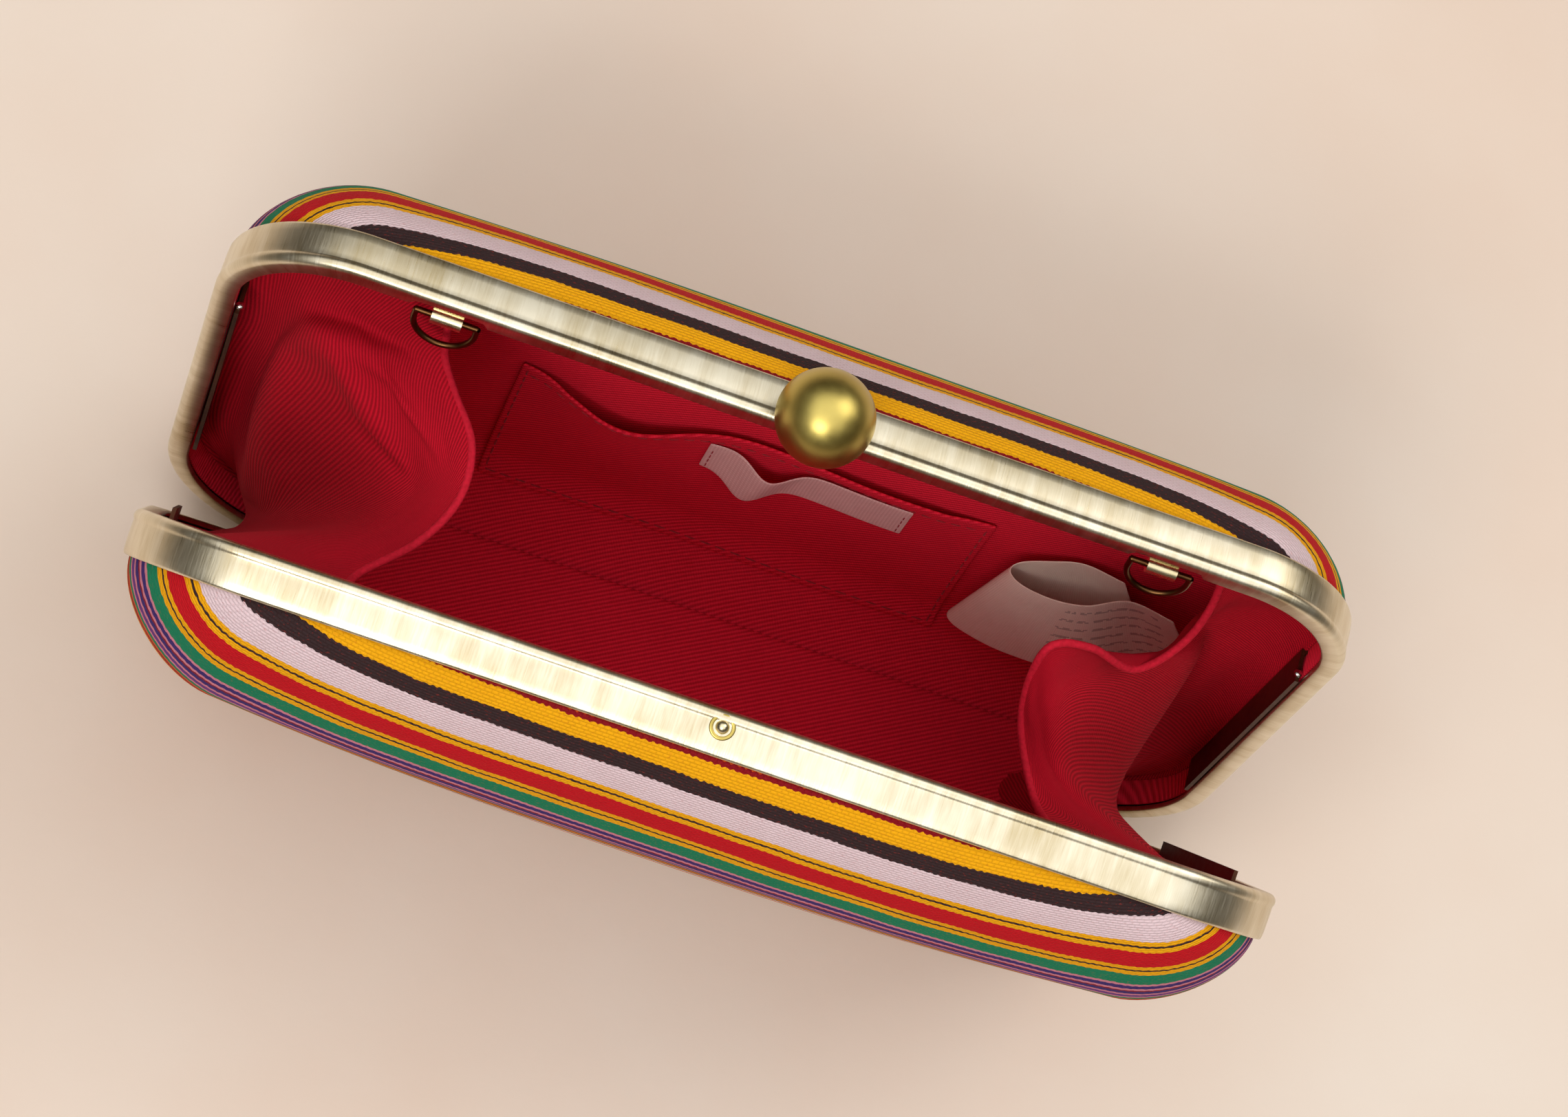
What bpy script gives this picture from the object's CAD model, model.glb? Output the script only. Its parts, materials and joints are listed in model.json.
import json
import math

import bmesh
import bpy
import numpy as np
from mathutils import Euler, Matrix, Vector


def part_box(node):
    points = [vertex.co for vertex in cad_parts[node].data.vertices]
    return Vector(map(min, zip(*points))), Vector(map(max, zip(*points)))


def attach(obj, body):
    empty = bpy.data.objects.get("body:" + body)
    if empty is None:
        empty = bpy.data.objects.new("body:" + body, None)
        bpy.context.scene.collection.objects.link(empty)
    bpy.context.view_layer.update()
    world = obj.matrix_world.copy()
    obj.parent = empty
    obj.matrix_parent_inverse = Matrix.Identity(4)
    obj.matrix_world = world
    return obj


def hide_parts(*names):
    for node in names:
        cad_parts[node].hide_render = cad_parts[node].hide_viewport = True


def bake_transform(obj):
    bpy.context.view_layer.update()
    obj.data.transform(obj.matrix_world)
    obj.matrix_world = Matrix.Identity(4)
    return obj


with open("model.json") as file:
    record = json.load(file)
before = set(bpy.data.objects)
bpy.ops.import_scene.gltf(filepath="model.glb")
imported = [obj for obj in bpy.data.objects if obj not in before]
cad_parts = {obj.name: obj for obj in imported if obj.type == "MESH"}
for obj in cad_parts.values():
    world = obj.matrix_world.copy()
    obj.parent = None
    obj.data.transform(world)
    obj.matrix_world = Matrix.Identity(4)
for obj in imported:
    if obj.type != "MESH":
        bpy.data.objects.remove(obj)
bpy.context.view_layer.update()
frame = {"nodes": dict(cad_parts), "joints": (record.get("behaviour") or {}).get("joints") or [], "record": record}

# Each half is worked out lying down, in millimetres:
# x along the bag, y the height above the hinge line, z the depth behind the meeting plane.
REAR, FRONT = "rear_half", "front_half"
MM = 0.001
LEAN = math.radians(11.5)
HALF_L = 100.0
BASE_Y, TOP_Y = -0.5, 119.5
MID_Y = (BASE_Y + TOP_Y) / 2
HALF_H = (TOP_Y - BASE_Y) / 2
TOP_R, BASE_R, LEAST_R = 23.0, 28.0, 0.6
BAND_D = 8.0
HINGE_Z = frame["joints"][0]["pos_m"][2] / MM
FLANGE_W = 4.1
SHELL_IN = 1.5
FOOT_Z = 6.6
SHELL_RISE, SHELL_ROUND, SHELL_CROWN = 16.0, 19.0, 6.0
ROUND_POWER = 1.75
# How far the core and the lining lie inside the cover's outer face, and how thick each layer is
CORE_O, LINING_O = 0.85, 2.6
COVER_T, CORE_T, LINING_T = 0.65, 1.0, 0.5
LOOP_X = 62.5
BALL_R, BALL_Y, BALL_Z = 8.25, TOP_Y - 0.2 + 5.9, 0.7
STUD_Z = 3.0


# ---------- placing ----------

def stand(points, half):
    """Points of a flat-drawn half, in mm, to the row frame in metres."""
    p = np.asarray(points, float)
    x, y, z = p[..., 0], p[..., 1], p[..., 2]
    back = z * math.cos(LEAN) + y * math.sin(LEAN)
    up = HINGE_Z + y * math.cos(LEAN) - z * math.sin(LEAN)
    return np.stack([x, back if half == REAR else -back, up], -1) * MM


def outline(inset, per_corner=16, per_long=48, per_short=24):
    """Outline of a half moved in by inset, anticlockwise from the right, as (x, y)."""
    def centre(i):
        r = TOP_R if i < 2 else BASE_R
        return np.array([(1 if i in (0, 3) else -1) * (HALF_L - r), TOP_Y - r if i < 2 else BASE_Y + r]), r

    def corner(i, share):
        c, r = centre(i)
        a = math.radians(90 * (i + share))
        return c + max(LEAST_R, r - inset) * np.array([math.cos(a), math.sin(a)])

    points = []
    for i in range(4):
        points += [corner(i, s / per_corner) for s in range(per_corner + 1)]
        steps = per_long if i % 2 == 0 else per_short
        a, b = corner(i, 1), corner((i + 1) % 4, 0)
        points += [a + (b - a) * k / steps for k in range(1, steps)]
    return np.array(points)


def rise(s):
    s = np.clip(s, 0, 1)
    return (1 - (1 - s) ** ROUND_POWER) ** (1 / ROUND_POWER)


def crown(x, y):
    return SHELL_CROWN * (1 - (x / HALF_L) ** 2) * (1 - ((y - MID_Y) / HALF_H) ** 2)


def skin_z(x, y, s, o):
    return BAND_D + (SHELL_RISE - o) * rise(s) + crown(x, y) * rise(s)


def wall_z(x, y, o):
    """Depth of a layer straight behind (x, y)."""
    edge = np.minimum(np.minimum(HALF_L - np.abs(x), y - BASE_Y), TOP_Y - y)
    return skin_z(x, y, (edge - SHELL_IN - o) / SHELL_ROUND, o)


# ---------- meshes ----------

SAME_PLACE = 1e-7
ASLANT = (0.31, 0.52, 0.79)  # a direction that no wire here runs in


def make_mesh(name, points, faces, uv=None):
    """A smooth-shaded mesh object; uv is one (u, v) in mm for each point."""
    mesh = bpy.data.meshes.new(name)
    mesh.from_pydata([tuple(p) for p in points], [], [tuple(int(i) for i in f) for f in faces])
    mesh.update()
    if uv is not None:
        layer = mesh.uv_layers.new(name="cloth")
        index = np.zeros(len(mesh.loops), int)
        mesh.loops.foreach_get("vertex_index", index)
        layer.data.foreach_set("uv", np.asarray(uv, float)[index].ravel())
    mesh.polygons.foreach_set("use_smooth", [True] * len(mesh.polygons))
    obj = bpy.data.objects.new(name, mesh)
    bpy.context.scene.collection.objects.link(obj)
    return obj


def grid_faces(rows, cols, wrap=False, start=0, flip=False):
    faces = []
    for i in range(rows - 1):
        for j in range(cols if wrap else cols - 1):
            k = (j + 1) % cols
            here, there = start + i * cols, start + (i + 1) * cols
            quad = (here + j, here + k, there + k, there + j)
            faces.append(quad[::-1] if flip else quad)
    return faces


def grid_object(name, rows, uv=None, wrap=False, flip=False, cap=False):
    """A mesh from rows of points; wrap closes each row, cap closes the last row on its middle."""
    rows = np.asarray(rows, float)
    n, m = rows.shape[:2]
    points = list(rows.reshape(-1, 3))
    coords = None if uv is None else list(np.asarray(uv, float).reshape(-1, 2))
    faces = grid_faces(n, m, wrap, flip=flip)
    if cap:
        tip = len(points)
        points.append(rows[-1].mean(0))
        if coords is not None:
            coords.append(np.asarray(uv, float)[-1].mean(0))
        for j in range(m):
            tri = ((n - 1) * m + j, (n - 1) * m + (j + 1) % m, tip)
            faces.append(tri[::-1] if flip else tri)
    return make_mesh(name, points, faces, coords)


def apply_modifiers(obj):
    bpy.context.view_layer.update()
    depsgraph = bpy.context.evaluated_depsgraph_get()
    mesh = bpy.data.meshes.new_from_object(obj.evaluated_get(depsgraph))
    obj.modifiers.clear()
    obj.data = mesh
    return obj


def thicken(obj, thickness, offset=-1.0, levels=0):
    """Gives a sheet its thickness in mm, and subdivides it if asked."""
    solid = obj.modifiers.new("thickness", "SOLIDIFY")
    solid.thickness = thickness * MM
    solid.offset = offset
    solid.use_even_offset = False
    if levels:
        sub = obj.modifiers.new("smooth", "SUBSURF")
        sub.levels = levels
        sub.render_levels = levels
    return apply_modifiers(obj)


def mend(obj, weld=False, fill=False):
    """Turns the faces outwards; weld joins points that lie on each other, fill closes open ends."""
    bm = bmesh.new()
    bm.from_mesh(obj.data)
    if weld:
        bmesh.ops.remove_doubles(bm, verts=bm.verts, dist=SAME_PLACE)
    if fill:
        bmesh.ops.holes_fill(bm, edges=bm.edges)
    bmesh.ops.recalc_face_normals(bm, faces=bm.faces)
    bm.to_mesh(obj.data)
    bm.free()
    return obj


def lathe_object(name, profile, base, half, turns):
    """A turned piece from (radius, height) points in mm; its axis points up the half, from base."""
    angles = np.linspace(0, 2 * math.pi, turns, endpoint=False)
    flat = [[(base[0] + r * math.cos(a), base[1] + h, base[2] + r * math.sin(a)) for a in angles]
            for r, h in profile]
    return mend(grid_object(name, stand(flat, half), wrap=True, flip=half == FRONT))


def tube(name, path, radius, sides):
    """A round wire along a path of points in metres; radius in mm, one number or one a point."""
    path = np.asarray(path, float)
    n = len(path)
    radii = np.broadcast_to(np.asarray(radius, float) * MM, (n,))
    tangent = np.roll(path, -1, 0) - np.roll(path, 1, 0)
    tangent[0], tangent[-1] = path[1] - path[0], path[-1] - path[-2]
    tangent /= np.linalg.norm(tangent, axis=1)[:, None]
    side = np.cross(tangent[0], ASLANT)
    rows = []
    for p, t, r in zip(path, tangent, radii):
        side = side - t * (side @ t)
        side /= np.linalg.norm(side)
        other = np.cross(t, side)
        angles = np.linspace(0, 2 * math.pi, sides, endpoint=False)
        rows.append([p + r * (math.cos(a) * side + math.sin(a) * other) for a in angles])
    return mend(grid_object(name, rows, wrap=True), weld=True, fill=True)


# ---------- shaders ----------

OBJECT_PLACE = 3  # the output of a Texture Coordinate node that gives places in the object


class Value:
    """A shader socket that can be used in Python expressions."""

    def __init__(self, tree, socket):
        self.tree = tree
        self.socket = socket

    def math(self, operation, *others, clamp=False):
        node = self.tree.nodes.new("ShaderNodeMath")
        node.operation = operation
        node.use_clamp = clamp
        for place, item in enumerate((self,) + others):
            join(self.tree, node.inputs[place], item)
        return Value(self.tree, node.outputs[0])

    def __add__(self, other):
        return self.math("ADD", other)

    def __sub__(self, other):
        return self.math("SUBTRACT", other)

    def __rsub__(self, other):
        return (self * -1) + other

    def __mul__(self, other):
        return self.math("MULTIPLY", other)

    def __truediv__(self, other):
        return self.math("DIVIDE", other)

    __radd__, __rmul__ = __add__, __mul__

    def sin(self):
        return self.math("SINE")

    def abs(self):
        return self.math("ABSOLUTE")

    def floor(self):
        return self.math("FLOOR")

    def fract(self):
        return self.math("FRACT")

    def power(self, n):
        return self.math("POWER", n)

    def above(self, edge):
        return self.math("GREATER_THAN", edge)

    def clamp(self):
        return self.math("ADD", 0.0, clamp=True)


def join(tree, socket, item):
    if isinstance(item, Value):
        tree.links.new(item.socket, socket)
    elif isinstance(item, bpy.types.NodeSocket):
        tree.links.new(item, socket)
    else:
        socket.default_value = item


class Finish:
    """A material under construction."""

    def __init__(self, name, **surface):
        self.material = bpy.data.materials.new(name)
        self.material.use_nodes = True
        self.tree = self.material.node_tree
        self.surface = self.tree.nodes["Principled BSDF"]
        self.set(**surface)

    def set(self, **sockets):
        for key, item in sockets.items():
            join(self.tree, self.surface.inputs[key.replace("_", " ")], item)

    def node(self, kind, settings=None, out=0, **sockets):
        """One node of a kind: its settings first, then its sockets by name, or by place as a0, a1."""
        made = self.tree.nodes.new("ShaderNode" + kind)
        for key, item in (settings or {}).items():
            if key == "stops":
                fill_ramp(made.color_ramp, item)
            else:
                setattr(made, key, item)
        for key, item in sockets.items():
            by_place = key[0] == "a" and key[1:].isdigit()
            join(self.tree, made.inputs[int(key[1:]) if by_place else key.replace("_", " ")], item)
        return Value(self.tree, made.outputs[out])

    def cloth_uv(self):
        """(u, v) of the cloth in mm."""
        uv = self.node("UVMap", {"uv_map": "cloth"})
        split = self.node("SeparateXYZ", Vector=uv)
        outs = split.socket.node.outputs
        return Value(self.tree, outs[0]), Value(self.tree, outs[1])

    def noise(self, scale, detail, vector=None, rough=0.5):
        """Noise at a vector, or else at the point's place in the object in metres."""
        vector = vector or self.node("TexCoord", out=OBJECT_PLACE)
        return self.node("TexNoise", Vector=vector, Scale=scale, Detail=detail, Roughness=rough)

    def vector(self, x, y, z=0.0):
        return self.node("CombineXYZ", X=x, Y=y, Z=z)

    def mix(self, factor, a, b, kind="MIX"):
        return self.node("Mix", {"data_type": "RGBA", "blend_type": kind}, out=2, a0=factor, a6=a, a7=b)

    def ramp(self, factor, stops, interpolation="LINEAR"):
        made = self.node("ValToRGB", {"stops": stops}, Fac=factor)
        made.socket.node.color_ramp.interpolation = interpolation
        return made

    def bump(self, height, strength, distance):
        self.set(Normal=self.node("Bump", Strength=strength, Distance=distance, Height=height))


def fill_ramp(ramp, stops):
    while len(ramp.elements) < len(stops):
        ramp.elements.new(1.0)
    for element, (position, colour) in zip(ramp.elements, sorted(stops, key=lambda s: s[0])):
        element.position = position
        element.color = colour if len(colour) == 4 else (*colour, 1)


def rgb(r, g, b):
    """A colour as seen on screen (0 to 255) to the linear values that shaders use."""
    shares = [c / 255 for c in (r, g, b)]
    linear = [c / 12.92 if c <= 10 / 255 else ((c + 0.055) / 1.055) ** 2.4 for c in shares]
    return (*linear, 1.0)


def cover(obj, finish):
    obj.data.materials.clear()
    obj.data.materials.append(finish.material)


def place_piece(obj, finish, slot, body, *nodes):
    """Gives a piece its finish and slot, and lets it ride on a body in the place of the nodes."""
    cover(obj, finish)
    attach(obj, body)
    if nodes:
        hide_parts(*nodes)


# Brass and other plated metals, brushed across the band where the piece has a lay of its own
def metal_finish(name, light, dark, rough=0.3, grain=1.0, lay=False, metallic=1.0):
    f = Finish(name, Metallic=metallic)
    if lay:
        u, v = f.cloth_uv()
        brush = f.noise(1.0, 4.0, f.vector(u * 3.2, v * 0.16), 0.65)
        broad = f.noise(1.0, 2.0, f.vector(u * 0.35, v * 0.08))
    else:
        brush = f.noise(700.0, 3.0)
        broad = f.noise(90.0, 2.0)
    cloud = f.noise(45.0, 3.0)
    tarnish = ((cloud - 0.5) * 1.6 + (broad - 0.5) * 1.2 + (brush - 0.5) * 0.9 * grain + 0.62).clamp()
    f.set(Base_Color=f.mix(tarnish, dark, light))
    f.set(Roughness=(brush - 0.5) * 0.26 * grain + (cloud - 0.5) * 0.14 + rough)
    f.bump(brush, 0.10 * grain, 0.0002)
    return f


BRASS = metal_finish("antique_brass", rgb(236, 228, 206), rgb(192, 174, 134), rough=0.33, lay=True)
BALL_BRASS = metal_finish("satin_ball_brass", rgb(206, 186, 104), rgb(168, 146, 76), rough=0.36, grain=0.35)
PALE_BRASS = metal_finish("pale_barrel_brass", rgb(246, 238, 208), rgb(206, 184, 130), rough=0.28, grain=0.4)
BRONZE = metal_finish("dark_bronze", rgb(120, 84, 50), rgb(44, 26, 16), rough=0.32, grain=0.5)
STEEL = metal_finish("plated_steel", rgb(186, 180, 168), rgb(120, 114, 104), rough=0.32, grain=0.6)
STRIP = metal_finish("grip_strip_metal", rgb(88, 52, 32), rgb(36, 18, 12), rough=0.42, grain=0.8,
                     metallic=0.75)
SOLDER = metal_finish("solder_spot", rgb(225, 225, 222), rgb(120, 118, 112), rough=0.2, grain=0.8)


def board_finish():
    f = Finish("pressed_board", Roughness=0.85)
    speck = f.noise(900.0, 4.0)
    f.set(Base_Color=f.mix(speck, rgb(96, 90, 82), rgb(60, 56, 50)))
    f.bump(speck, 0.3, 0.0003)
    return f


# The striped cover: u runs along the bag, v is how far the cloth lies from the top band, in mm
YELLOW, CHARCOAL, PALE = rgb(252, 178, 0), rgb(52, 36, 38), rgb(238, 212, 218)
RED, GREEN, INK = rgb(208, 4, 26), rgb(0, 136, 96), rgb(56, 38, 120)
ROSE, CRIMSON, ORANGE, PURPLE = rgb(226, 140, 160), rgb(150, 8, 24), rgb(236, 92, 20), rgb(112, 52, 140)
STRIPES = [  # (width in mm, colour), from the top band outwards
    (0.5, CRIMSON), (2.5, YELLOW), (2.6, CHARCOAL), (4.4, PALE),
    (0.9, YELLOW), (0.45, CHARCOAL), (1.1, YELLOW), (3.7, RED), (1.0, YELLOW), (0.45, CHARCOAL),
    (1.2, YELLOW), (3.4, GREEN), (0.8, ROSE), (1.4, INK), (0.8, ROSE), (0.5, CRIMSON), (1.4, INK),
    (0.8, ROSE), (1.3, PURPLE), (0.8, ROSE), (1.5, GREEN), (1.0, ORANGE), (1.1, CRIMSON), (0.8, ORANGE),
]
REPEAT = sum(width for width, _ in STRIPES)
PICK = 1.15  # length of a thread's float over the weft, in mm
WARP = 0.44  # from one warp thread to the next, in mm
TURN = 2 * math.pi


def striped_finish():
    f = Finish("striped_weave", Roughness=0.75, Specular_IOR_Level=0.2)
    u, v = f.cloth_uv()
    sway = f.noise(0.07, 2.0, f.vector(u, v)) - 0.5
    scallop = (u * (TURN / 1.25)).sin() * 0.06
    nub = (f.noise(1.3, 2.0, f.vector(u, v * 2.0)) - 0.5) * 0.34
    at = (v + sway * 0.9 + scallop + nub) / REPEAT
    stops, reached = [], 0.0
    for width, colour in STRIPES:
        stops.append((reached / REPEAT, colour))
        reached += width
    stripe = f.ramp(at.fract(), stops, "CONSTANT")
    # Each warp thread floats over the weft and dips under it, a half step on from its neighbour
    row = (v / WARP).floor()
    across = (v * (math.pi / WARP)).sin().abs().power(0.55)
    float_over = ((u / PICK + row * 0.5) * math.pi).sin().abs().power(0.35)
    weave = across * float_over
    twist = ((u * 0.9 + v * 1.7) * (TURN / 0.42)).sin() * 0.5 + 0.5
    fleck = f.noise(1.9, 1.0, f.vector(u * 0.7, v * 2.1)).above(0.66)
    colour = f.mix(weave * 0.30 + twist * 0.10 + 0.62, f.mix(0.55, stripe, rgb(70, 16, 12)), stripe)
    colour = f.mix(fleck * 0.20, colour, rgb(200, 50, 30))
    f.set(Base_Color=f.mix(f.noise(0.2, 3.0, f.vector(u, v)) * 0.16, colour, rgb(150, 96, 80), "MULTIPLY"))
    f.bump(weave + twist * 0.15 + f.noise(2.6, 2.0, f.vector(u, v)) * 0.4, 0.6, 0.0003)
    return f


# Red twill: fine ribs on the slant
TWILL_RIB, TWILL_THREAD = 0.78, 0.47  # in mm
RED_SHEEN = rgb(235, 60, 80)


def twill_finish(name, light, dark):
    f = Finish(name, Roughness=0.9, Specular_IOR_Level=0.15)
    f.set(Sheen_Weight=0.05, Sheen_Roughness=0.35, Sheen_Tint=RED_SHEEN)
    u, v = f.cloth_uv()
    slub = f.noise(1.4, 2.0, f.vector(u, v)) - 0.5
    rib = ((u * 0.5 - v * 0.87 + slub * 0.2) * (TURN / TWILL_RIB)).sin() * 0.5 + 0.5
    cord = ((u * 0.87 + v * 0.5) * (TURN / TWILL_THREAD) + slub * 2).sin() * 0.5 + 0.5
    cloud = f.noise(0.05, 4.0, f.vector(u, v))
    lint = f.noise(4.5, 2.0, f.vector(u, v * 3.0)).above(0.76)
    colour = f.mix(rib * 0.7 + cord * 0.14 + cloud * 0.3 - 0.05, dark, light)
    f.set(Base_Color=f.mix(lint * 0.16, colour, rgb(235, 90, 105)))
    f.bump(rib * 0.8 + cord * 0.25 + slub * 0.6, 0.55, 0.00022)
    return f


def cord_finish():
    f = Finish("red_hem", Roughness=0.85, Specular_IOR_Level=0.2, Sheen_Weight=0.06, Sheen_Tint=RED_SHEEN)
    grain = f.noise(1500.0, 2.0)
    f.set(Base_Color=f.mix(grain, rgb(150, 8, 26), rgb(214, 26, 54)))
    f.bump(grain, 0.5, 0.0002)
    return f


def tape_finish(name, light, dark, pitch):
    f = Finish(name, Roughness=0.7, Sheen_Weight=0.1)
    u, v = f.cloth_uv()
    warp = (u * (TURN / pitch)).sin() * 0.5 + 0.5
    weft = (v * (TURN / pitch)).sin() * 0.5 + 0.5
    cloud = f.noise(0.3, 3.0, f.vector(u, v))
    f.set(Base_Color=f.mix(warp * weft * 0.6 + cloud * 0.4, dark, light))
    f.bump(warp * weft, 0.5, 0.0002)
    return f


# The care ribbon carries short grey dashes in rows, which stand for its small print
PRINT_ROW = 3.4  # from one row of dashes to the next, in mm


def ribbon_finish():
    f = tape_finish("label_ribbon", rgb(255, 240, 226), rgb(234, 208, 190), 0.42)
    u, v = f.cloth_uv()
    line = ((v / PRINT_ROW).fract() - 0.5).abs().above(0.36)
    dash = f.noise(0.55, 1.0, f.vector(u, (v / PRINT_ROW).floor() * 9.0)).above(0.47)
    field = (u - 4.0).above(0.0) * (26.0 - u).above(0.0) * (13.0 - v.abs()).above(0.0)
    base = f.surface.inputs["Base Color"].links[0].from_socket
    f.set(Base_Color=f.mix(line * dash * field * 0.5, base, rgb(120, 92, 84)))
    return f


def thread_finish():
    f = Finish("red_thread", Roughness=0.7, Sheen_Weight=0.1)
    twist = f.noise(1800.0, 2.0)
    f.set(Base_Color=f.mix(twist, rgb(110, 0, 16), rgb(196, 14, 40)))
    f.bump(twist, 0.4, 0.0001)
    return f


BOARD = board_finish()
STRIPED = striped_finish()
TWILL = twill_finish("red_twill", rgb(206, 16, 42), rgb(128, 4, 20))
LINING_TWILL = twill_finish("lining_twill", rgb(250, 42, 70), rgb(184, 16, 38))
TWILL_CORD = cord_finish()
TAPE = tape_finish("woven_tape", rgb(248, 212, 208), rgb(214, 162, 158), 0.62)
RIBBON = ribbon_finish()
THREAD = thread_finish()


# ---------- camera, lights and floor ----------

CAMERA_PLACE = (-0.08395, -0.15762, 0.83229)
CAMERA_TURN = (9.965, -10.268, 17.446)  # in degrees about X, Y and Z
CAMERA_LENS, CAMERA_FILM = 104.5, 36.0
LAMPS = [  # name, place, what it points at, size, power, colour
    ("key", (0.80, 0.66, 1.20), (0, 0, 0.05), (0.9, 0.9), 5.0, (1.0, 0.96, 0.90)),
    ("ceiling", (-0.10, 0.10, 1.50), (-0.10, 0.10, 0.05), (2.6, 2.2), 13.0, (1.0, 0.99, 0.97)),
    ("fill", (-0.30, -0.95, 1.30), (0, 0, 0.06), (0.7, 0.5), 9.5, (1.0, 0.98, 0.95)),
]
ROOM_LIGHT = 0.6
ROOM = [  # (height on the sky, colour), from the horizon up
    (0.0, (0.26, 0.21, 0.14)), (0.10, (0.13, 0.11, 0.07)), (0.30, (0.05, 0.045, 0.035)),
    (0.62, (0.20, 0.19, 0.17)), (0.84, (1.0, 0.99, 0.96)), (1.0, (1.15, 1.15, 1.15)),
]
FLOOR_REACH = 12.0


def camera_and_lights():
    scene = bpy.context.scene
    cam = bpy.data.cameras.new("camera")
    cam.lens = CAMERA_LENS
    cam.sensor_width = CAMERA_FILM
    cam.clip_start = 0.05
    obj = bpy.data.objects.new("camera", cam)
    obj.location = CAMERA_PLACE
    obj.rotation_euler = Euler([math.radians(a) for a in CAMERA_TURN], "XYZ")
    scene.collection.objects.link(obj)
    scene.camera = obj
    scene.view_settings.view_transform = "Standard"

    for name, place, target, size, power, colour in LAMPS:
        light = bpy.data.lights.new(name, "AREA")
        light.shape = "RECTANGLE"
        light.size, light.size_y = size
        light.energy = power
        light.color = colour
        lamp = bpy.data.objects.new(name, light)
        lamp.location = place
        lamp.rotation_euler = (Vector(target) - Vector(place)).to_track_quat("-Z", "Y").to_euler()
        scene.collection.objects.link(lamp)

    world = bpy.data.worlds.new("studio")
    scene.world = world
    world.use_nodes = True
    tree = world.node_tree
    back = tree.nodes["Background"]
    coord = tree.nodes.new("ShaderNodeTexCoord")
    split = tree.nodes.new("ShaderNodeSeparateXYZ")
    ramp = tree.nodes.new("ShaderNodeValToRGB")
    fill_ramp(ramp.color_ramp, ROOM)
    tree.links.new(coord.outputs["Generated"], split.inputs[0])
    tree.links.new(split.outputs["Z"], ramp.inputs[0])
    tree.links.new(ramp.outputs[0], back.inputs["Color"])
    back.inputs["Strength"].default_value = ROOM_LIGHT


def floor_sheet():
    f = Finish("pale_floor", Roughness=0.9)
    cloud = f.noise(9.0, 5.0)
    f.set(Base_Color=f.mix((cloud - 0.3) * 2.2, rgb(229, 207, 190), rgb(234, 220, 207)))
    f.bump(f.noise(260.0, 4.0), 0.12, 0.0006)
    corners = [(x * FLOOR_REACH, y * FLOOR_REACH, 0) for x, y in ((-1, -1), (1, -1), (1, 1), (-1, 1))]
    floor = make_mesh("floor", corners, [(0, 1, 2, 3)])
    cover(floor, f)


# ---------- frames ----------

RELIEF_DEEP, RELIEF_REACH, RELIEF_EASE = 1.5, 5.6, 1.2  # the flange's hollows for the chain loops


def unit(vectors):
    return vectors / np.linalg.norm(vectors, axis=1)[:, None]


def sweep_ring(name, section, half):
    """Sweeps a section round a half's outline. section(x, y) gives (inset, depth) points in mm."""
    spine = outline(0.0, per_corner=28, per_long=160, per_short=40)
    ahead = np.roll(spine, -1, 0) - spine
    behind = spine - np.roll(spine, 1, 0)
    tangent = unit(unit(ahead) + unit(behind))
    inward = np.stack([-tangent[:, 1], tangent[:, 0]], -1)
    run = np.concatenate([[0], np.linalg.norm(ahead, axis=1).cumsum()])
    rows, uv = [], []
    for k in range(len(spine) + 1):
        p, n = spine[k % len(spine)], inward[k % len(spine)]
        rows.append([(p[0] + n[0] * i, p[1] + n[1] * i, z) for i, z in section(p[0], p[1])])
        uv.append([(run[k], i + z) for i, z in section(p[0], p[1])])
    return mend(grid_object(name, stand(rows, half), uv, wrap=True), weld=True)


def smooth_step(t):
    t = min(1.0, max(0.0, t))
    return t * t * (3 - 2 * t)


def frame_section(notched):
    """The frame's section: flange, rolled edge and band, as (inset, depth) points in mm."""
    roll, lip, sheet, gap, flange_t = 1.3, 0.2, 1.2, 0.15, 1.0

    def section(x, y):
        flange = FLANGE_W
        if notched and y > TOP_Y - 0.5:
            away = abs(abs(x) - LOOP_X)
            flange -= RELIEF_DEEP * (1 - smooth_step((away - RELIEF_REACH) / RELIEF_EASE))
        points = [(flange, gap + 0.5), (flange - 0.12, gap + 0.14), (flange - 0.4, gap)]
        for turn in np.radians(np.linspace(-90, 32, 15)):
            points.append((roll * (1 - math.cos(turn)), gap + roll * (1 + math.sin(turn))))
        points += [(lip + 0.03, 2.4), (lip, 3.2), (lip, 4.6), (lip + 0.03, 6.2), (lip + 0.1, BAND_D - 0.5),
                   (lip + 0.25, BAND_D - 0.12), (lip + 0.5, BAND_D), (lip + sheet - 0.25, BAND_D),
                   (lip + sheet, BAND_D - 0.25), (lip + sheet, 4.5), (lip + sheet, gap + flange_t + 0.25),
                   (lip + sheet + 0.25, gap + flange_t), (flange - 0.4, gap + flange_t),
                   (flange - 0.12, gap + flange_t - 0.14)]
        return points
    return section


def cut_away(obj, cutter):
    """Takes a helper solid out of a piece and removes the helper."""
    cut = obj.modifiers.new("cut", "BOOLEAN")
    cut.operation = "DIFFERENCE"
    cut.solver = "EXACT"
    cut.use_self = True
    cut.object = cutter
    apply_modifiers(obj)
    bpy.data.objects.remove(cutter)


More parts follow.
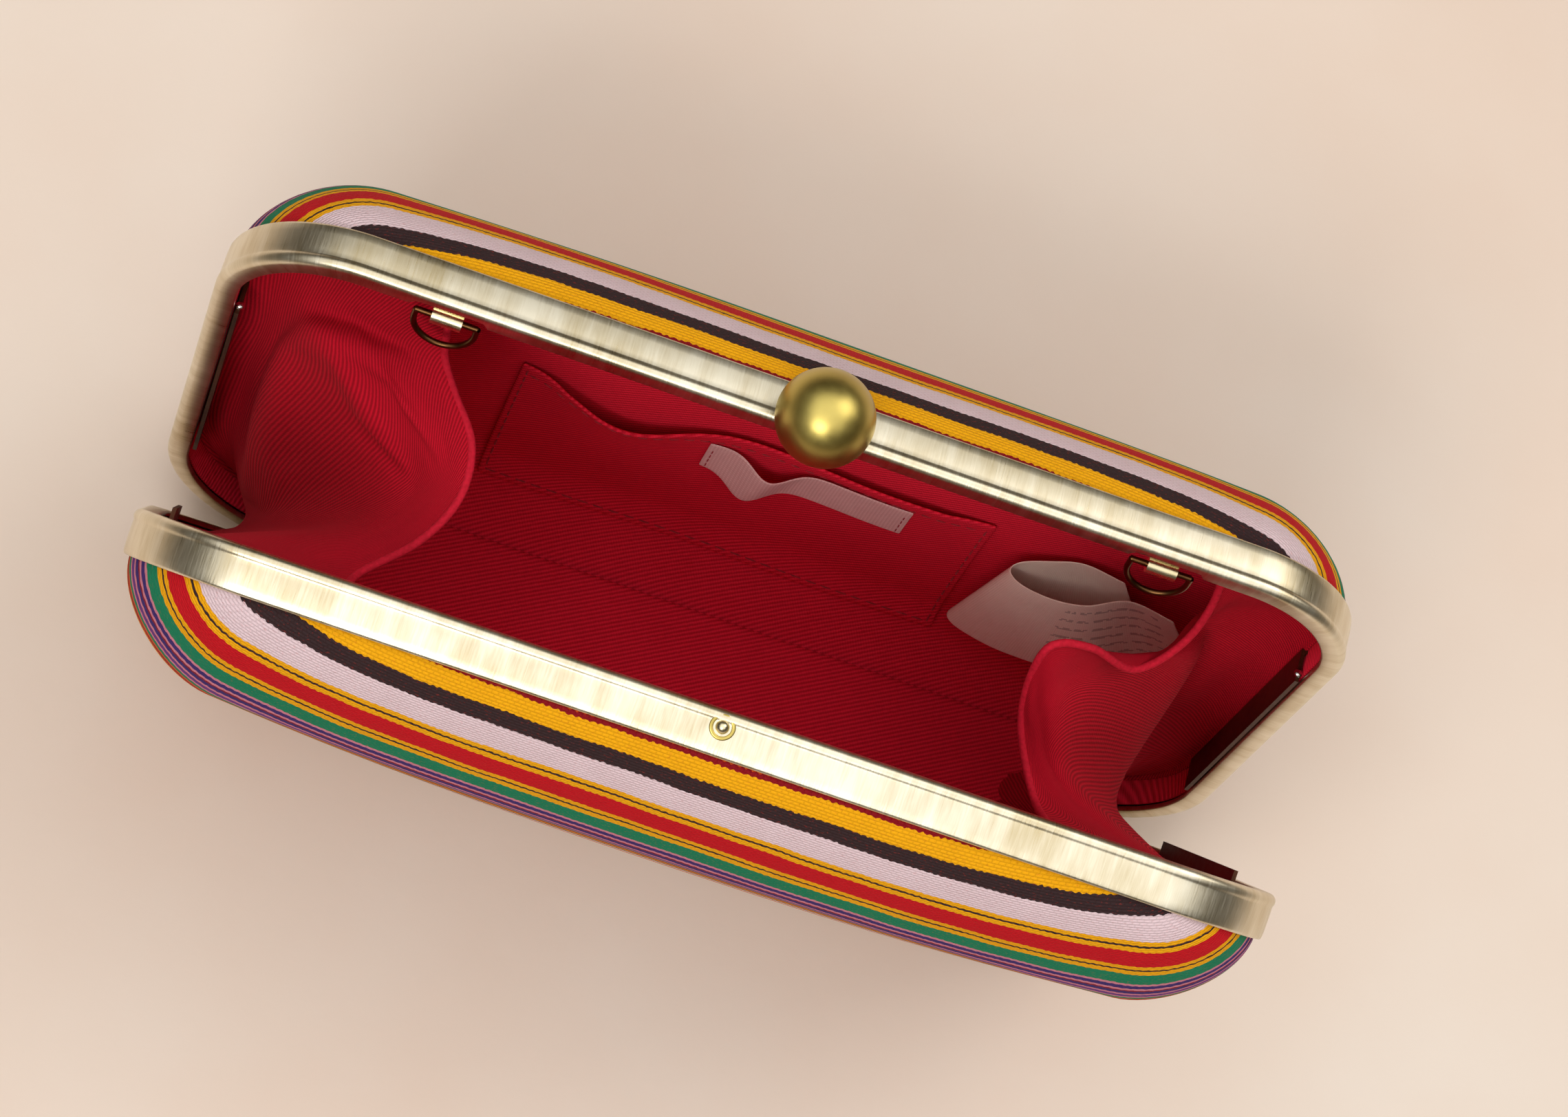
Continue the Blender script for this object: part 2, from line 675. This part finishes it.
def hinge_room(half):
    """Room in a frame for the knuckles and leaves of its two hinges."""
    low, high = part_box("rear_hinge_leaf_right")
    middle, reach = (low[0] + high[0]) / 2 / MM, (high[0] - low[0]) / 2 / MM + 0.5
    turn = np.radians(np.linspace(0, 360, 24, endpoint=False))
    rim = [(1.95 * math.cos(a), 1.95 * math.sin(a)) for a in turn]
    points, faces = [], []
    for side in (-1, 1):
        for flat in (rim, [(0.2, -0.6), (4.4, -0.6), (4.4, 1.75), (0.2, 1.75)]):
            start, n = len(points), len(flat)
            for end in (-reach, reach):
                points += [(side * middle + end, y, z) for y, z in flat]
            faces += grid_faces(2, n, True, start)
            faces += [tuple(start + k for k in reversed(range(n))), tuple(start + n + k for k in range(n))]
    return mend(make_mesh("hinge_room", stand(points, half), faces))


def make_frames():
    for half, node in ((REAR, "rear_frame"), (FRONT, "front_frame")):
        ring = sweep_ring(node + "_ring", frame_section(half == REAR), half)
        cut_away(ring, hinge_room(half))
        place_piece(ring, BRASS, "antique_brass", half, node)


# ---------- shells ----------

ROUND_RINGS, MIDDLE_RINGS = 22, 12


def layer_rows(o):
    """Rings of a layer that lies o inside the cover's face, from its foot in the band to the middle."""
    rows = [np.c_[outline(SHELL_IN + o), np.full(len(outline(0)), FOOT_Z)]]
    for k in range(ROUND_RINGS + 1):
        s = 1 - math.cos(k / ROUND_RINGS * math.pi / 2)
        p = outline(SHELL_IN + o + s * SHELL_ROUND)
        rows.append(np.c_[p, skin_z(p[:, 0], p[:, 1], np.full(len(p), s), o)])
    last = rows[-1]
    for k in range(1, MIDDLE_RINGS):
        share = 1 - k / MIDDLE_RINGS
        x = last[:, 0] * share
        y = MID_Y + (last[:, 1] - MID_Y) * share
        rows.append(np.c_[x, y, skin_z(x, y, np.ones(len(x)), o)])
    return np.array(rows)


STRIPE_EASE = 24.0  # how far above and below the middle the stripes' spacing changes


def stripe_place(rows, dip):
    """How far the draped cloth lies from the top band, in mm; dip is what it takes up at the ends."""
    x, y, z = rows[..., 0], rows[..., 1], rows[..., 2]
    up = y - MID_Y
    side = np.clip(up / STRIPE_EASE, -1, 1)
    side = side * (1.5 - 0.5 * side * side)
    slack = 0.5 * (BAND_D + SHELL_RISE + SHELL_CROWN - z) - dip * (np.abs(x) / HALF_L) ** 4.5
    return HALF_H - SHELL_IN + 0.5 * (SHELL_RISE + SHELL_CROWN) - (up + side * slack)


def make_covers():
    for half, node, phase, dip in ((REAR, "rear_cover", 0.4, 11.5), (FRONT, "front_cover", 2.1, 15.0)):
        rows = layer_rows(0.0)
        uv = np.stack([rows[..., 0], stripe_place(rows, dip)], -1)
        x, y = rows[..., 0], rows[..., 1]
        free = np.clip((rows[..., 2] - BAND_D) / 10.0, 0, 1)
        waves = np.sin(x / 17 + y / 31 + phase) + np.sin(x / 29 - y / 13 + 2 * phase)
        rows[..., 2] += waves * 0.16 * free
        skin = grid_object(node + "_cloth", stand(rows, half), uv, wrap=True, cap=True)
        thicken(mend(skin), COVER_T)
        place_piece(skin, STRIPED, "striped_cloth", half, node)


def make_cores():
    for half, node in ((REAR, "rear_shell"), (FRONT, "front_shell")):
        core = grid_object(node + "_core", stand(layer_rows(CORE_O), half), wrap=True, cap=True)
        thicken(mend(core), CORE_T)
        place_piece(core, BOARD, "stiff_core", half, node)


def slackened(x, y, z):
    """Depth z of the lining, less how far it hangs off the shell that it is only tacked to."""
    free = np.clip((z - BAND_D) / 8.0, 0, 1)
    return z - free * (0.4 + 0.3 * np.sin(x / 21 + y / 17) + 0.22 * np.sin(x / 9 - y / 15))


def lining_z(x, y):
    return slackened(x, y, wall_z(x, y, LINING_O))


LINING_EDGE_Z = 1.5


def make_linings():
    for half, node in ((REAR, "rear_lining"), (FRONT, "front_lining")):
        rows = layer_rows(LINING_O)
        start = rows[0].copy()
        start[:, 2] = LINING_EDGE_Z
        rows = np.concatenate([[start], rows])
        x, y = rows[..., 0], rows[..., 1]
        rows[..., 2] = slackened(x, y, rows[..., 2])
        uv = np.stack([x, y + (rows[..., 2] - 20) * 0.3], -1)
        skin = grid_object(node + "_cloth", stand(rows, half), uv, wrap=True, cap=True)
        thicken(mend(skin), LINING_T, 1.0)
        place_piece(skin, LINING_TWILL, "red_twill", half, node)


THREAD_SHAPE = (0.35, 0.9, 1.0, 1.0, 0.9, 0.35)


def stitches(name, path, length=2.1, gap=0.9, radius=0.17):
    """A row of sewn threads along a path of points in metres, as one mesh riding on the rear half."""
    path = np.asarray(path, float)
    run = np.concatenate([[0], np.linalg.norm(np.diff(path, axis=0), axis=1).cumsum()]) / MM
    threads = []
    for k in range(int(run[-1] / (length + gap))):
        steps = np.linspace(0, 1, len(THREAD_SHAPE))
        at = k * (length + gap) + steps * length
        points = np.stack([np.interp(at, run, path[:, i]) for i in range(3)], -1)
        ends = np.array(THREAD_SHAPE) * radius
        threads.append(tube(name, points, ends, 6))
    bm = bmesh.new()
    for thread in threads:
        bm.from_mesh(thread.data)
        bpy.data.objects.remove(thread)
    mesh = bpy.data.meshes.new(name)
    bm.to_mesh(mesh)
    bm.free()
    obj = bpy.data.objects.new(name, mesh)
    bpy.context.scene.collection.objects.link(obj)
    place_piece(obj, THREAD, "red_twill", REAR)
    return obj


POCKET = (-45.5, 44.0, 15.0, 57.0)


def pocket_point(x, rise_share):
    """A point of the slip pocket; its mouth sags and gapes left of the middle."""
    bottom, top = POCKET[2], POCKET[3]
    slack = np.exp(-((x + 25) / 13) ** 2) + 0.35 * np.exp(-((x - 22) / 20) ** 2)
    y = bottom + (top - bottom) * rise_share - 5.5 * slack * rise_share ** 4
    edge = np.clip(np.minimum(x - POCKET[0], POCKET[1] - x) / 9.0, 0, 1)
    gape = edge * (0.5 + 4.2 * slack) * rise_share ** 3
    return np.stack([x + 0 * y, y, lining_z(x, y) - 0.75 - gape], -1)


def make_pocket():
    xs = np.linspace(POCKET[0], POCKET[1], 91)
    shares = np.linspace(0, 1, 41)
    flat = np.array([pocket_point(xs, share) for share in shares])
    uv = np.stack([flat[..., 0], flat[..., 1]], -1)
    sheet = grid_object("slip_pocket_cloth", stand(flat, REAR), uv)
    thicken(mend(sheet), 0.7, 0.0, levels=1)

    def sewn_line(xs, shares):
        return [pocket_point(np.array([x]), share)[0] for x, share in zip(xs, shares)]

    left, right = POCKET[0] + 1.3, POCKET[1] - 1.3
    low, high, lift = 0.035, 0.97, [0, 0, 0.45]
    seam = sewn_line(np.full(40, left), np.linspace(high, low, 40))
    seam += sewn_line(np.linspace(left + 0.3, right - 0.3, 80), np.full(80, low))
    seam += sewn_line(np.full(40, right), np.linspace(low, high, 40))
    sewn = stitches("pocket_stitching", stand(np.array(seam) - lift, REAR))
    hem = sewn_line(np.linspace(left + 0.7, right - 0.7, 80), np.full(80, 0.93))
    hem_sewn = stitches("pocket_hem_stitching", stand(np.array(hem) - lift, REAR), 1.8, 1.0, 0.14)
    place_piece(sheet, LINING_TWILL, "red_twill", REAR, "slip_pocket")


def make_woven_label():
    """A blank woven tape sewn down at both ends, with a hump where it has more length than it spans."""
    us = np.linspace(0, 1, 75)
    rows = []
    for w in np.linspace(-1, 1, 15):
        x = -9.2 + 38.6 * us
        hump = np.exp(-((x - 1.5 - 1.3 * w) / 4.6) ** 2)
        y = 48.1 + 5.2 * w - 1.6 * hump + 0.5 * np.sin(x / 6.0)
        shares = (y - POCKET[2]) / (POCKET[3] - POCKET[2])
        base = np.array([pocket_point(np.array([a]), share)[0][2] for a, share in zip(x, shares)])
        rows.append(np.stack([x, y, base - 0.8 - 3.6 * hump - 0.5 * np.sin(us * math.pi)], -1))
    rows = np.array(rows)
    uv = np.stack([rows[..., 0], rows[..., 1]], -1)
    tape = grid_object("woven_label_tape", stand(rows, REAR), uv)
    thicken(mend(tape), 0.35, 0.0, levels=1)
    for column in (2, 72):
        line = rows[1:-1, column] - [0, 0, 0.25]
        stitches(f"woven_label_stitching_{column}", stand(line, REAR), 1.3, 0.6, 0.12)
    place_piece(tape, TAPE, "woven_tape", REAR, "woven_label")


def smooth_path(points, count):
    """count points on a smooth curve through the given ones, evenly spread."""
    p = np.asarray(points, float)
    p = np.concatenate([[2 * p[0] - p[1]], p, [2 * p[-1] - p[-2]]])
    out = []
    for a, b, c, d in zip(p, p[1:], p[2:], p[3:]):
        for t in np.linspace(0, 1, 16, endpoint=False):
            out.append(0.5 * (2 * b + (c - a) * t + (2 * a - 5 * b + 4 * c - d) * t * t
                              + (3 * b - a - 3 * c + d) * t ** 3))
    out.append(p[-2])
    out = np.array(out)
    run = np.concatenate([[0], np.linalg.norm(np.diff(out, axis=0), axis=1).cumsum()])
    at = np.linspace(0, run[-1], count)
    return np.stack([np.interp(at, run, out[:, i]) for i in range(out.shape[1])], -1)


def make_care_label():
    """A ribbon folded back on itself: sewn at its right end, with its loop towards the middle."""
    # Middle of the ribbon and half its width, from the sewn end, round the fold, to the end under it
    middle = [(83, 57, 13.5), (74, 54, 15.5), (65, 48.6, 13.2), (56.5, 43.4, 14.6), (49.5, 40, 17.2),
              (46.7, 39, 19.6), (48.5, 39.5, 21.6), (55.5, 43, 22.3), (64, 47.5, 22.6), (73, 51.5, 20.5)]
    breadth = [(-6, 9.8, 0.5), (-5, 10.4, 0.6), (-2.5, 12, 1.2), (0.5, 13.2, 0.6), (1.9, 13.8, 0),
               (2.2, 13.8, 0), (1.9, 13.8, 0), (-0.5, 13.2, 0), (-3.4, 11.6, 0), (-5, 10, 0)]
    path = smooth_path(np.concatenate([middle, breadth], 1), 90)
    run = np.concatenate([[0], np.linalg.norm(np.diff(path[:, :3], axis=0), axis=1).cumsum()])
    rows, uv = [], []
    for w in np.linspace(-1, 1, 27):
        rows.append(path[:, :3] + path[:, 3:] * w)
        uv.append(np.stack([run, np.full(len(run), 13.4 * w)], -1))
    ribbon = grid_object("care_label_ribbon", stand(rows, REAR), uv)
    thicken(mend(ribbon), 0.3, 0.0, levels=1)
    place_piece(ribbon, RIBBON, "label_ribbon", REAR, "care_label")


# ---------- gussets ----------

GUSSET_ROWS, GUSSET_COLS = 72, 50
GUSSET_SEAM = 165  # length of the seam from the hinge round to the free edge, in mm
GUSSET_T, HEM_R = 0.9, 0.72
# Each seam's two rows of points, as (inset, depth) in mm
REAR_SEAM, FRONT_SEAM = ((4.3, 6.2), (4.8, 7.6)), ((7.2, 3.0), (7.1, 6.0))
HANG_FRAMES, HANG_GRAVITY = 10, 0.12
# Shape of each gusset at a few levels, as points on its way from the rear half to the front half (x outwards)
LOW_LEVELS = [
    (0.00, [(66, 3.2, 6.0), (66, 2.0, 6.2), (66, 1.0, 6.4), (66, 0.4, 6.5), (66, -0.4, 6.5),
            (66, -1.2, 6.3), (66, -2.6, 6.0)]),
    (0.20, [(84, 7.5, 11), (82, 5, 9.5), (81, 2.5, 11), (81, 1, 11), (81, -1, 11), (82, -2.4, 11),
            (84, -4, 11)]),
]
LEFT_LEVELS = LOW_LEVELS + [
    (0.36, [(90, 12, 29), (87, 8, 26), (85, 3.5, 30), (82, 1, 31), (81, -1.5, 30), (83, -4, 29),
            (88, -6, 29)]),
    (0.46, [(91, 18, 49), (88, 14.5, 43), (86, 8, 50), (80, 3, 52), (76, -2, 51), (79, -6, 50),
            (87, -9.5, 50)]),
    (0.59, [(91, 23, 77), (87.5, 21, 71), (84.5, 16, 79), (74, 10, 83), (64, 2, 81), (68, -8, 77),
            (82, -14, 78)]),
    (0.72, [(88, 28, 95), (84, 24, 90), (80, 19, 96), (69, 12, 94), (58, 3, 89), (61, -8, 87),
            (75, -17, 90)]),
    (1.00, [(61.8, 25, 104), (60.5, 21.5, 96.5), (57, 16.5, 95), (51.5, 9, 95), (50.5, 0, 94),
            (54.5, -9, 93), (62.5, -18, 95)]),
]
RIGHT_LEVELS = LOW_LEVELS + [
    (0.36, [(89, 12, 29), (84.5, 8, 26), (82.5, 3, 30), (81, 0.5, 31), (80.5, -1.8, 30), (82, -4, 29),
            (88, -6, 29)]),
    (0.46, [(89, 19, 49), (83, 14.5, 43), (81, 7, 50), (79, 2.5, 52), (78, -2, 51), (80.5, -6, 49),
            (87, -9.5, 49)]),
    (0.59, [(89, 25, 77), (82, 24, 72), (79, 17.5, 79), (70, 11, 86), (61, 2, 88), (64, -8, 80),
            (79, -15, 78)]),
    (0.72, [(86, 29, 93), (77, 25, 85), (74, 17, 87), (64, 10.5, 94), (54, 3, 97), (58, -8, 85),
            (72, -17, 86)]),
    (1.00, [(75.5, 27, 100), (74.0, 18, 94), (67, 10.2, 93), (57, 9.4, 101), (49.6, 6.2, 102.5),
            (51.5, -3.0, 88.5), (58, -15.5, 87)]),
]


def gusset_edge(t, inset, reach):
    """Edge of the right gusset on a half from the hinge (0) to its free edge (1), as (x, y) in mm."""
    def corner(i, share):
        r = TOP_R if i == 0 else BASE_R
        centre = np.array([HALF_L - r, TOP_Y - r if i == 0 else BASE_Y + r])
        a = math.radians(90 * (i + share))
        return centre + (r - inset) * np.array([math.cos(a), math.sin(a)])

    def along(a, b, share):
        return a + (b - a) * share

    if t < 0.06:
        return along(np.array([66.0, BASE_Y + inset]), corner(-1, 0), t / 0.06)
    if t < 0.34:
        return corner(-1, (t - 0.06) / 0.28)
    if t < 0.68:
        return along(corner(-1, 1), corner(0, 0), (t - 0.34) / 0.34)
    if t < 0.9:
        return corner(0, (t - 0.68) / 0.22)
    return along(corner(0, 1), np.array([reach, TOP_Y - inset]), (t - 0.9) / 0.1)


def level_points(levels, t):
    """The points of a gusset's section at t, blended smoothly between the given levels."""
    at = [level[0] for level in levels]
    k = min(max(0, sum(a <= t for a in at) - 1), len(at) - 2)
    share = (t - at[k]) / (at[k + 1] - at[k])
    shape = np.array([level[1] for level in levels], float)

    def slope(i):
        low, high = max(i - 1, 0), min(i + 1, len(at) - 1)
        return (shape[high] - shape[low]) / (at[high] - at[low])

    before, after, step = slope(k), slope(k + 1), at[k + 1] - at[k]
    a, b = share, share * share
    c = b * share
    return ((2 * c - 3 * b + 1) * shape[k] + (c - 2 * b + a) * step * before
            + (3 * b - 2 * c) * shape[k + 1] + (c - b) * step * after)


def gusset_rows(levels, side):
    """The slack sheet as it is sewn in; each row goes from the rear half to the front half."""
    rows = []
    rear_reach, front_reach = (64.0, 64.0) if side < 0 else (70.0, 60.0)
    for t in np.linspace(0, 1, GUSSET_ROWS + 1):
        rear = [stand([*gusset_edge(t, inset, rear_reach), z], REAR) for inset, z in REAR_SEAM]
        front = [stand([*gusset_edge(t, inset, front_reach), z], FRONT) for inset, z in FRONT_SEAM]
        middle = level_points(levels, t) * MM
        cloth = smooth_path([rear[1], *middle, front[0]], GUSSET_COLS)
        row = np.array([rear[0], *cloth, front[1]])
        row[:, 0] *= side
        rows.append(row)
    return np.array(rows)


def hang(obj, pinned):
    """Lets a sheet hang between its held points by cloth simulation and applies the result."""
    group = obj.vertex_groups.new(name="held")
    group.add([int(i) for i in pinned], 1.0, "REPLACE")
    cloth = obj.modifiers.new("hang", "CLOTH")
    cloth.settings.quality = 8
    cloth.settings.mass = 0.12
    cloth.settings.tension_stiffness = 18.0
    cloth.settings.compression_stiffness = 18.0
    cloth.settings.shear_stiffness = 8.0
    cloth.settings.bending_stiffness = 1.2
    cloth.settings.air_damping = 3.0
    cloth.settings.vertex_group_mass = "held"
    cloth.settings.effector_weights.gravity = HANG_GRAVITY
    cloth.collision_settings.use_collision = False
    cloth.point_cache.frame_start = 1
    cloth.point_cache.frame_end = HANG_FRAMES
    for n in range(1, HANG_FRAMES + 1):
        bpy.context.scene.frame_set(n)
    apply_modifiers(obj)
    bpy.context.scene.frame_set(1)
    obj.vertex_groups.clear()


def make_gussets():
    for side, node, levels in ((-1, "left_gusset", LEFT_LEVELS), (1, "right_gusset", RIGHT_LEVELS)):
        rows = gusset_rows(levels, side)
        n, m = rows.shape[:2]
        across = np.linalg.norm(np.diff(rows, axis=1), axis=2).cumsum(1) / MM
        across = np.concatenate([np.zeros((n, 1)), across], 1)
        across -= across[:, m // 2][:, None]
        along = np.linspace(0, GUSSET_SEAM, n)[:, None] + np.zeros((n, m))
        sheet = grid_object(node + "_cloth", rows, np.stack([along * side, across], -1))
        pinned = [i * m + j for i in range(n) for j in (0, 1, m - 2, m - 1)]
        pinned += [*range(m), *range((n - 1) * m, n * m)]
        hang(sheet, pinned)
        points = np.empty(n * m * 3)
        sheet.data.vertices.foreach_get("co", points)
        rim = points.reshape(n, m, 3)[-1, 1:-1]
        cover(sheet, TWILL)
        thicken(mend(sheet), GUSSET_T, 0.0, levels=1)
        hem = tube(node + "_hem", smooth_path(rim, 110), HEM_R, 10)
        cover(hem, TWILL_CORD)
        for piece in (sheet, hem):
            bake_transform(piece)
        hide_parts(node)


def make_hinge_lining():
    """The strip of lining that covers the hinges and the two flanges between the halves."""
    bends = [(13.2, 5.0), (9, 5.6), (4.5, 6.3), (0, 6.5), (-4.5, 6.3), (-9, 5.6), (-13.2, 5.0)]
    section = smooth_path(bends, 31)
    xs = np.linspace(-76, 76, 77)
    rows = [[(x, y, z + 0.16 * math.sin(x / 7.0) * math.cos(y / 4.0)) for y, z in section] for x in xs]
    uv = [[(x, y) for y, z in section] for x in xs]
    strip = grid_object("hinge_lining_cloth", np.array(rows) * MM, uv)
    cover(strip, LINING_TWILL)
    thicken(mend(strip), 0.6, 0.0)
    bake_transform(strip)
    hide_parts("hinge_lining")


# ---------- clasp, catch and small metal ----------

def make_clasp():
    foot = math.asin((TOP_Y + 0.05 - BALL_Y) / BALL_R)
    flat_r = BALL_R * math.cos(foot)
    foot_h = BALL_R * math.sin(foot)
    profile = [(0.02, foot_h), (flat_r - 0.5, foot_h), (flat_r - 0.12, foot_h + 0.1)]
    turns = np.linspace(foot + 0.05, math.pi / 2 - 0.01, 64)
    profile += [(BALL_R * math.cos(a), BALL_R * math.sin(a)) for a in turns] + [(0.001, BALL_R)]
    ball = lathe_object("clasp_ball_turned", profile, (0, BALL_Y, BALL_Z), REAR, 96)
    place_piece(ball, BALL_BRASS, "antique_brass", REAR, "clasp_ball")


def make_stud_seat():
    """A pressed ring round the catch stud."""
    turn = np.linspace(0, 2 * math.pi, 20, endpoint=False)
    profile = [(1.85 + 0.34 * math.cos(a), 0.16 * math.sin(a)) for a in turn]
    ring = lathe_object("catch_stud_seat", profile + profile[:1], (0, TOP_Y - 0.2, STUD_Z), FRONT, 48)
    place_piece(mend(ring, weld=True), BALL_BRASS, "antique_brass", FRONT)


def make_solder_spots():
    """A bright spot of solder where each grip strip's upper end meets the flange."""
    bump = [(0.75 * math.sin(a), 0.55 * math.cos(a)) for a in np.linspace(math.pi - 0.02, 0.02, 12)]
    for half, body in ((REAR, "rear"), (FRONT, "front")):
        for side, name in ((-1, "left"), (1, "right")):
            base = (side * (HALF_L - 5.0), 90.2, 1.6)
            spot = lathe_object(f"{body}_strip_solder_{name}", bump, base, half, 16)
            place_piece(spot, SOLDER, "inner_steel", half)


for make in (camera_and_lights, floor_sheet, make_frames, make_covers, make_cores, make_linings, make_pocket,
             make_woven_label, make_care_label, make_gussets, make_hinge_lining, make_clasp, make_stud_seat,
             make_solder_spots):
    make()

NODE_FINISH = {"antique_brass": PALE_BRASS, "dark_bronze": BRONZE, "inner_steel": STEEL}
for part in frame["record"]["subparts"]:
    node, slot = part["node"], part["material_slot"]
    if slot in NODE_FINISH:
        cover(frame["nodes"][node], STRIP if "grip_strip" in node else NODE_FINISH[slot])
